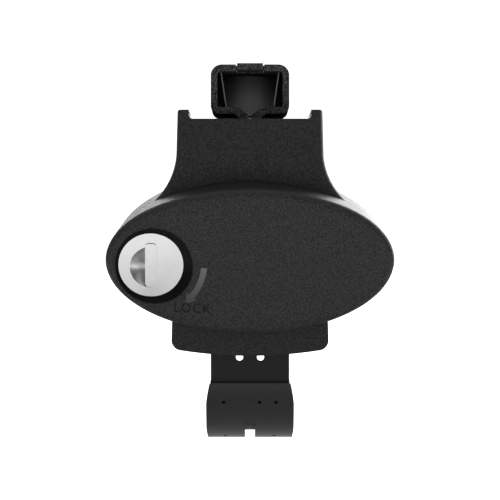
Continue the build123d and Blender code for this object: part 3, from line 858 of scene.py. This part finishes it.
@dataclass
class DrawBolt:
    """Socket head bolt with a knurled head and a cut thread, grown by a geometry tree."""

    seat: float = 5.6 * MM
    head_radius: float = 4.75 * MM
    head_height: float = 6.0 * MM
    knurl_size: float = 0.34 * MM
    knurl_margin: float = 0.6 * MM
    knurls: int = 40
    knurl_turn: float = math.pi / 4
    socket_radius: float = 2.887 * MM
    socket_depth: float = 3.0 * MM
    shank_radius: float = 3.0 * MM
    shank_length: float = 14.0 * MM
    bolt_length: float = 40.0 * MM
    core_radius: float = 2.45 * MM
    tooth_radius: float = 0.54 * MM
    thread_pitch: float = 1.0 * MM
    thread_turns: float = 25.0
    tip: float = 0.6 * MM
    sides: int = 48
    key_sides: int = 6
    thread_steps: int = 32
    tooth_sides: int = 4

    @staticmethod
    def _rod(
        grower: GeometryGrower, sides: int, radius: float, low: float, high: float
    ) -> bpy.types.NodeSocket:
        """Add an upright rod to the tree.

        Args:
            grower: the tree that is being built.
            sides: how many sides the rod has.
            radius: the rod's radius.
            low: height of its lower end.
            high: height of its upper end.

        Returns:
            The socket that holds it.
        """
        rod = grower.maker.add("GeometryNodeMeshCylinder", fill_type="NGON")
        rod.inputs["Vertices"].default_value = sides
        rod.inputs["Radius"].default_value = radius
        rod.inputs["Depth"].default_value = high - low
        return grower.raised(rod.outputs["Mesh"], (low + high) / 2)

    def _head(self, grower: GeometryGrower) -> bpy.types.NodeSocket:
        """Add the head with its hexagon socket.

        Args:
            grower: the tree that is being built.

        Returns:
            The socket that holds it.
        """
        floor = self.head_height - self.socket_depth
        above = self.head_height + self.socket_depth
        key = self._rod(grower, self.key_sides, self.socket_radius, floor, above)
        drum = self._rod(grower, self.sides, self.head_radius, 0.0, self.head_height)
        cut = grower.maker.add("GeometryNodeMeshBoolean", operation="DIFFERENCE")
        grower.maker.join(drum, cut.inputs["Mesh 1"])
        grower.maker.join(key, cut.inputs["Mesh 2"])
        return cut.outputs["Mesh"]

    def _knurl(self, grower: GeometryGrower) -> bpy.types.NodeSocket:
        """Set ridges round the head, as many as the tree's input Knurls says.

        Args:
            grower: the tree that is being built.

        Returns:
            The socket that holds them.
        """
        maker = grower.maker
        count = grower.inlet.outputs["Knurls"]
        ring = maker.add("GeometryNodeMeshCircle")
        ring.inputs["Radius"].default_value = self.head_radius
        maker.join(count, ring.inputs["Vertices"])
        ridge = maker.add("GeometryNodeMeshCube")
        length = self.head_height - 2 * self.knurl_margin
        ridge.inputs["Size"].default_value = (self.knurl_size, self.knurl_size, length)
        turn = maker.maths("DIVIDE", math.tau, count)
        angle = maker.maths("MULTIPLY", maker.add("GeometryNodeInputIndex").outputs["Index"], turn)
        spin = maker.add("ShaderNodeCombineXYZ")
        maker.join(maker.maths("ADD", angle, self.knurl_turn), spin.inputs["Z"])
        place = maker.add("GeometryNodeInstanceOnPoints")
        maker.join(ring.outputs["Mesh"], place.inputs["Points"])
        maker.join(ridge.outputs["Mesh"], place.inputs["Instance"])
        maker.join(spin.outputs["Vector"], place.inputs["Rotation"])
        return grower.raised(place.outputs["Instances"], self.head_height / 2)

    def build(self, material: bpy.types.Material) -> bpy.types.Object:
        """Grow the bolt, its head's seat at the origin, and set it on its axis.

        Args:
            material: its finish.

        Returns:
            The bolt.
        """
        inputs = {"Pitch": self.thread_pitch, "Turns": self.thread_turns, "Knurls": self.knurls}
        grower = GeometryGrower("draw_bolt", inputs)
        thread = grower.helix(self.core_radius, self.thread_steps, self.tooth_radius, self.tooth_sides)
        shapes = [
            self._head(grower),
            self._knurl(grower),
            self._rod(grower, self.sides, self.shank_radius, -self.shank_length, 0.0),
            self._rod(grower, self.sides, self.core_radius, -self.bolt_length, -self.shank_length),
            grower.raised(thread, self.tip - self.bolt_length),
        ]
        grower.finish(shapes, material)
        mesh = grower.grow(BoltAxis(), self.seat)
        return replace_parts(add_piece(mesh, material, Body.BOLT), "tension_bolt")


@dataclass
class CoverFace:
    """Domed, tilted front of the cover: places on it are given in its own plane."""

    apex: Vector = field(default_factory=lambda: Vector((0.0, -35.861, 39.6)) * MM)
    tilt: float = math.radians(14.5)
    dome_radius: float = 390.0 * MM

    def drop(self, across: float, up: float) -> float:
        """Find how far the dome has fallen back from its apex at a place on the face."""
        return self.dome_radius - math.sqrt(self.dome_radius**2 - across**2 - up**2)

    def point(self, across: float, up: float, lift: float) -> Vector:
        """Find a place on the dome.

        Args:
            across: distance along X from the middle of the cover.
            up: distance up the cover's plane from its middle.
            lift: height above the dome.

        Returns:
            The place in the frame's axes.
        """
        out = Vector((0.0, -math.cos(self.tilt), -math.sin(self.tilt)))
        rise = Vector((0.0, -math.sin(self.tilt), math.cos(self.tilt)))
        return self.apex + Vector((across, 0.0, 0.0)) + rise * up + out * (lift - self.drop(across, up))


def strip_mesh(name: str, rows: list[tuple[Vector, Vector]], closed: bool) -> bpy.types.Mesh:
    """Make a band of faces from its cross lines.

    Args:
        name: name of the mesh.
        rows: the two ends of each cross line.
        closed: whether the last line joins the first.

    Returns:
        The mesh.
    """
    form = bmesh.new()
    pairs = [[form.verts.new(point) for point in row] for row in rows]
    following = pairs[1:] + pairs[:1] if closed else pairs[1:]
    for (a, b), (c, d) in zip(pairs, following):
        form.faces.new((a, b, d, c))
    mesh = bpy.data.meshes.new(name)
    form.to_mesh(mesh)
    form.free()
    return mesh


@dataclass
class LockMarks:
    """Near-black lining of the lock's recess, which is painted shade, and the printed arrow and word
    beside it.
    """

    face: CoverFace = field(default_factory=CoverFace)
    lock_across: float = -33.9 * MM
    lock_up: float = -1.3 * MM
    start_radius: float = 18.2 * MM
    end_radius: float = 17.4 * MM
    start_angle: float = math.radians(-1.0)
    neck_angle: float = math.radians(-37.0)
    tip_angle: float = math.radians(-48.0)
    line_width: float = 2.05 * MM
    head_width: float = 4.2 * MM
    head_shares: tuple[float, ...] = (0.0, 0.5, 0.98)
    arrow_pale: Colour = grey(0.12)
    arrow_dark: Colour = grey(0.05)
    fade_share: float = 2.0 / 3.0
    steps: int = 24
    lift: float = 0.04 * MM
    recess_mouth: float = 11.45 * MM
    recess_floor: float = 3.4 * MM
    recess_rows: int = 96
    word: str = "LOCK"
    word_height: float = 3.5 * MM
    word_width: float = 12.4 * MM
    word_across: float = -19.9 * MM
    word_up: float = -17.6 * MM
    word_turn: float = math.radians(-2.0)
    letter_gap: float = 1.25

    def spot(self, radius: float, angle: float) -> tuple[float, float]:
        """Find a place on the face by its distance and direction from the lock."""
        return self.lock_across + radius * math.cos(angle), self.lock_up + radius * math.sin(angle)

    def arrow_rows(self) -> list[tuple[float, float, float]]:
        """List the arrow's cross lines from its tail to its tip.

        Returns:
            Inner radius, outer radius and angle of each line.
        """
        rows = []
        for step in range(self.steps + 1):
            share = step / self.steps
            radius = self.start_radius + share * (self.end_radius - self.start_radius)
            angle = self.start_angle + share * (self.neck_angle - self.start_angle)
            rows.append((radius - self.line_width / 2, radius + self.line_width / 2, angle))
        for share in self.head_shares:
            angle = self.neck_angle + share * (self.tip_angle - self.neck_angle)
            half = (1.0 - share) * self.head_width / 2
            rows.append((self.end_radius - half, self.end_radius + half, angle))
        return rows

    def build_arrow(self, effects: SurfaceEffects) -> bpy.types.Object:
        """Make the curved arrow, as a print just above the dome."""
        rows = []
        for inner, outer, angle in reversed(self.arrow_rows()):
            ends = (self.spot(radius, angle) for radius in (inner, outer))
            rows.append(tuple(self.face.point(*end, self.lift) for end in ends))
        mesh = strip_mesh("lock_arrow", rows, closed=False)
        top = self.face.point(self.lock_across + self.start_radius, self.lock_up, 0.0).z
        low = self.face.point(self.lock_across, self.lock_up - self.start_radius, 0.0).z
        fade_end = top + self.fade_share * (low - top)
        finish = PrintFinish("grey_print", self.arrow_pale, self.arrow_dark, top, fade_end)
        return add_piece(mesh, finish.material(effects), Body.COVER)

    def recess_brim(self, angle: float) -> float:
        """Find where the lock's conical recess meets the dome.

        Args:
            angle: direction round the lock.

        Returns:
            The distance from the lock's axis.
        """
        reach = self.recess_mouth + self.recess_floor
        radius = reach
        for _ in range(self.steps):
            radius = reach - self.face.drop(*self.spot(radius, angle))
        return radius

    def build_recess_shade(self, effects: SurfaceEffects) -> bpy.types.Object:
        """Line the recess round the lock with a smooth near-black ring that paints the recess's shade.
        """
        rows = []
        for row in range(self.recess_rows):
            angle = math.tau * row / self.recess_rows
            ends = []
            for radius in (self.recess_mouth, self.recess_brim(angle)):
                across, up = self.spot(radius, angle)
                depth = self.recess_mouth + self.recess_floor - radius
                lift = self.face.drop(across, up) - depth + self.lift
                ends.append(self.face.point(across, up, lift))
            rows.append(tuple(ends))
        # painted shade: a dark sheet laid just over the recess's cone
        mesh = strip_mesh("lock_recess_shade_ring", rows, closed=True)
        mesh.shade_smooth()
        return add_piece(mesh, Finishes.recess().material(effects), Body.COVER)

    def build_word(self) -> bpy.types.Object:
        """Make the word under the arrow, as a print just above the dome."""
        curve = bpy.data.curves.new("lock_word", "FONT")
        curve.body = self.word
        curve.align_x = "CENTER"
        curve.space_character = self.letter_gap
        letters = bpy.data.objects.new("lock_word_letters", curve)
        bpy.context.scene.collection.objects.link(letters)
        bpy.context.view_layer.update()
        mesh = bpy.data.meshes.new_from_object(letters)
        mesh.name = "lock_word"
        bpy.data.objects.remove(letters)
        xs = [point.co.x for point in mesh.vertices]
        ys = [point.co.y for point in mesh.vertices]
        wide = self.word_width / (max(xs) - min(xs))
        high = self.word_height / (max(ys) - min(ys))
        turn = Matrix.Rotation(self.word_turn, 2)
        for point in mesh.vertices:
            flat = turn @ Vector((point.co.x * wide, (point.co.y - min(ys)) * high))
            point.co = self.face.point(self.word_across + flat.x, self.word_up + flat.y, self.lift)
        return add_piece(mesh, Finishes.word().material(), Body.COVER)


@dataclass(frozen=True)
class SoftBox:
    """Rectangular lamp aimed at the middle of the foot."""

    name: str
    place: tuple[float, float, float]
    width: float
    height: float
    watts: float

    def build(self, target: Vector) -> bpy.types.Object:
        """Hang the lamp.

        Args:
            target: the point that it is aimed at.

        Returns:
            The lamp.
        """
        light = bpy.data.lights.new(self.name, "AREA")
        light.shape = "RECTANGLE"
        light.size = self.width
        light.size_y = self.height
        light.energy = self.watts
        lamp = bpy.data.objects.new(self.name, light)
        lamp.location = self.place
        lamp.rotation_mode = "QUATERNION"
        lamp.rotation_quaternion = (target - Vector(self.place)).to_track_quat("-Z", "Y")
        bpy.context.scene.collection.objects.link(lamp)
        return lamp


@dataclass
class Studio:
    """White studio with soft light and a camera level with the middle of the foot."""

    eye_height: float = 44.3 * MM
    cover_depth: float = -35.0 * MM
    picture_width: float = 170.5 * MM
    distance: float = 1000.0 * MM
    sensor: float = 36.0
    lamp: SoftBox = SoftBox("back_box", (0.6, 1.2, 0.4), width=2.2, height=1.2, watts=44.0)
    floor_drop: float = 60.0 * MM
    floor_size: float = 40.0
    floor_grey: float = 0.88
    floor_roughness: float = 0.9
    shadow_reach: Range = (0.23, 0.29)
    floor_glow: float = 2.0
    far_level: float = 0.25
    far_range: Range = (0.32, 0.5)
    ambient: float = 1.25
    top_level: float = 0.12
    top_range: Range = (0.1, 0.8)
    flag_level: float = 0.12
    side_range: Range = (0.4, 0.85)
    front_flag: tuple[float, float, float] = (0.0, -0.94, 0.34)
    front_range: Range = (0.78, 0.92)

    def build(self) -> None:
        """Set up the view, the world, the floor, the lamp and the camera."""
        bpy.context.scene.view_settings.view_transform = "Standard"
        self._world()
        self._floor()
        self.lamp.build(Vector((0.0, 0.0, self.eye_height)))
        self._camera()

    def _world(self) -> None:
        """Make the world white to the eye, and as a light dark at both sides and high in front."""
        world = bpy.data.worlds.new("studio_world")
        world.use_nodes = True
        bpy.context.scene.world = world
        maker = NodeMaker(world.node_tree)
        background = world.node_tree.nodes["Background"]
        background.inputs["Color"].default_value = (1.0, 1.0, 1.0, 1.0)
        path = maker.add("ShaderNodeLightPath")
        seen, through = path.outputs["Is Camera Ray"], path.outputs["Is Transmission Ray"]
        direct = maker.maths("MAXIMUM", seen, through)
        mirrored = path.outputs["Is Glossy Ray"]
        way = maker.add("ShaderNodeTexCoord").outputs["Generated"]
        axes = maker.add("ShaderNodeSeparateXYZ")
        maker.join(way, axes.inputs["Vector"])
        sideways = maker.maths("ABSOLUTE", axes.outputs["X"])
        sides = maker.spread(sideways, self.side_range, (1.0, self.flag_level))
        ahead = maker.add("ShaderNodeVectorMath", operation="DOT_PRODUCT")
        maker.join(way, ahead.inputs[0])
        ahead.inputs[1].default_value = self.front_flag
        front = maker.spread(ahead.outputs["Value"], self.front_range, (1.0, self.flag_level))
        flagged = maker.maths("MULTIPLY", mirrored, maker.maths("MULTIPLY", sides, front))
        top = maker.spread(axes.outputs["Z"], self.top_range, (self.ambient, self.top_level))
        soft = maker.maths("MULTIPLY", top, sides)
        plain = maker.maths("MULTIPLY", maker.maths("SUBTRACT", 1.0, mirrored), soft)
        light = maker.maths("ADD", flagged, plain)
        maker.join(maker.maths("MAXIMUM", direct, light), background.inputs["Strength"])

    def _floor(self) -> None:
        """Lay a pale floor that takes the shadow near the foot and is white far from it."""
        lowest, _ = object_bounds()
        half = self.floor_size / 2
        form = bmesh.new()
        level = lowest.z - self.floor_drop
        edge = ((-half, -half), (half, -half), (half, half), (-half, half))
        form.faces.new([form.verts.new((x, y, level)) for x, y in edge])
        mesh = bpy.data.meshes.new("studio_floor")
        form.to_mesh(mesh)
        form.free()
        made, maker, surface = new_material("pale_floor")
        surface.inputs["Base Color"].default_value = (*grey(self.floor_grey), 1.0)
        surface.inputs["Roughness"].default_value = self.floor_roughness
        place = maker.add("ShaderNodeTexCoord").outputs["Object"]
        span = maker.add("ShaderNodeVectorMath", operation="LENGTH")
        maker.join(place, span.inputs[0])
        far = maker.spread(span.outputs["Value"], self.shadow_reach, (0.0, 1.0))
        white = maker.add("ShaderNodeEmission")
        levels = (self.floor_glow, self.far_level)
        fade = maker.spread(span.outputs["Value"], self.far_range, levels)
        mirrored = maker.add("ShaderNodeLightPath").outputs["Is Glossy Ray"]
        even = maker.maths("MULTIPLY", maker.maths("SUBTRACT", 1.0, mirrored), self.floor_glow)
        maker.join(maker.maths("MAXIMUM", fade, even), white.inputs["Strength"])
        mix = maker.add("ShaderNodeMixShader")
        maker.join(far, mix.inputs[0])
        maker.join(surface.outputs["BSDF"], mix.inputs[1])
        maker.join(white.outputs["Emission"], mix.inputs[2])
        maker.join(mix.outputs["Shader"], made.node_tree.nodes["Material Output"].inputs["Surface"])
        mesh.materials.append(made)
        floor = bpy.data.objects.new("studio_floor", mesh)
        bpy.context.scene.collection.objects.link(floor)
        floor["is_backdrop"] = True

    def _camera(self) -> None:
        """Set the camera level with the middle of the foot, square to its front."""
        data = bpy.data.cameras.new("front_camera")
        data.sensor_width = self.sensor
        data.lens = self.sensor * self.distance / self.picture_width
        data.dof.use_dof = False
        camera = bpy.data.objects.new("front_camera", data)
        camera.location = (0.0, self.cover_depth - self.distance, self.eye_height)
        camera.rotation_euler = (math.pi / 2, 0.0, 0.0)
        bpy.context.scene.collection.objects.link(camera)
        bpy.context.scene.camera = camera


def sub_assemblies() -> list[CadGroup]:
    """List the foot's sub-assemblies that keep their CAD shapes.

    Returns:
        The groups, from the outside in.
    """
    return [
        CadGroup(
            "tower",
            {
                "housing": Slot.BLACK_PLASTIC,
                "rail_pad": Slot.RUBBER,
                "chassis_screws": Slot.ZINC_STEEL,
            },
        ),
        CadGroup("cover", {"front_cover": Slot.COVER_PLASTIC, "lock_sleeve": Slot.BLACK_PLASTIC}),
        CadGroup(
            "turn lock",
            {"lock_knob": Slot.SILVER, "lock_cam": Slot.ZINC_STEEL, "cam_screw": Slot.ZINC_STEEL},
        ),
        CadGroup("bar clamp", {"bar_clamp": Slot.BLACK_STEEL}),
        CadGroup(
            "strap",
            {
                "strap_band": Slot.BLACK_STEEL,
                "strap_sleeve": Slot.RUBBER,
                "anchor_pin": Slot.ZINC_STEEL,
                "anchor_pin_clips": Slot.ZINC_STEEL,
            },
        ),
        CadGroup(
            "draw gear",
            {
                "chassis": Slot.ZINC_STEEL,
                "thrust_washer": Slot.ZINC_STEEL,
                "tension_pin": Slot.ZINC_STEEL,
                "tension_pin_clips": Slot.ZINC_STEEL,
                "trunnion_nut": Slot.ZINC_STEEL,
            },
        ),
    ]


def main() -> None:
    """Dress the foot, add its marks and set up the studio."""
    logging.basicConfig(level=logging.INFO, format="%(name)s: %(message)s")
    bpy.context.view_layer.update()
    effects = SurfaceEffects()
    finishes = Finishes(effects)
    for group in sub_assemblies():
        group.dress(finishes)
    # the insert's grey is painted light
    ChannelDish().build(finishes.dish().material(effects))
    DrawBolt().build(finishes.by_slot[Slot.ZINC_STEEL])
    DrawSpring().build(finishes.by_slot[Slot.ZINC_STEEL])
    marks = LockMarks()
    # the recess ring is painted shade
    marks.build_recess_shade(effects)
    marks.build_arrow(effects)
    marks.build_word()
    Studio().build()


if __name__ == "__main__":
    main()
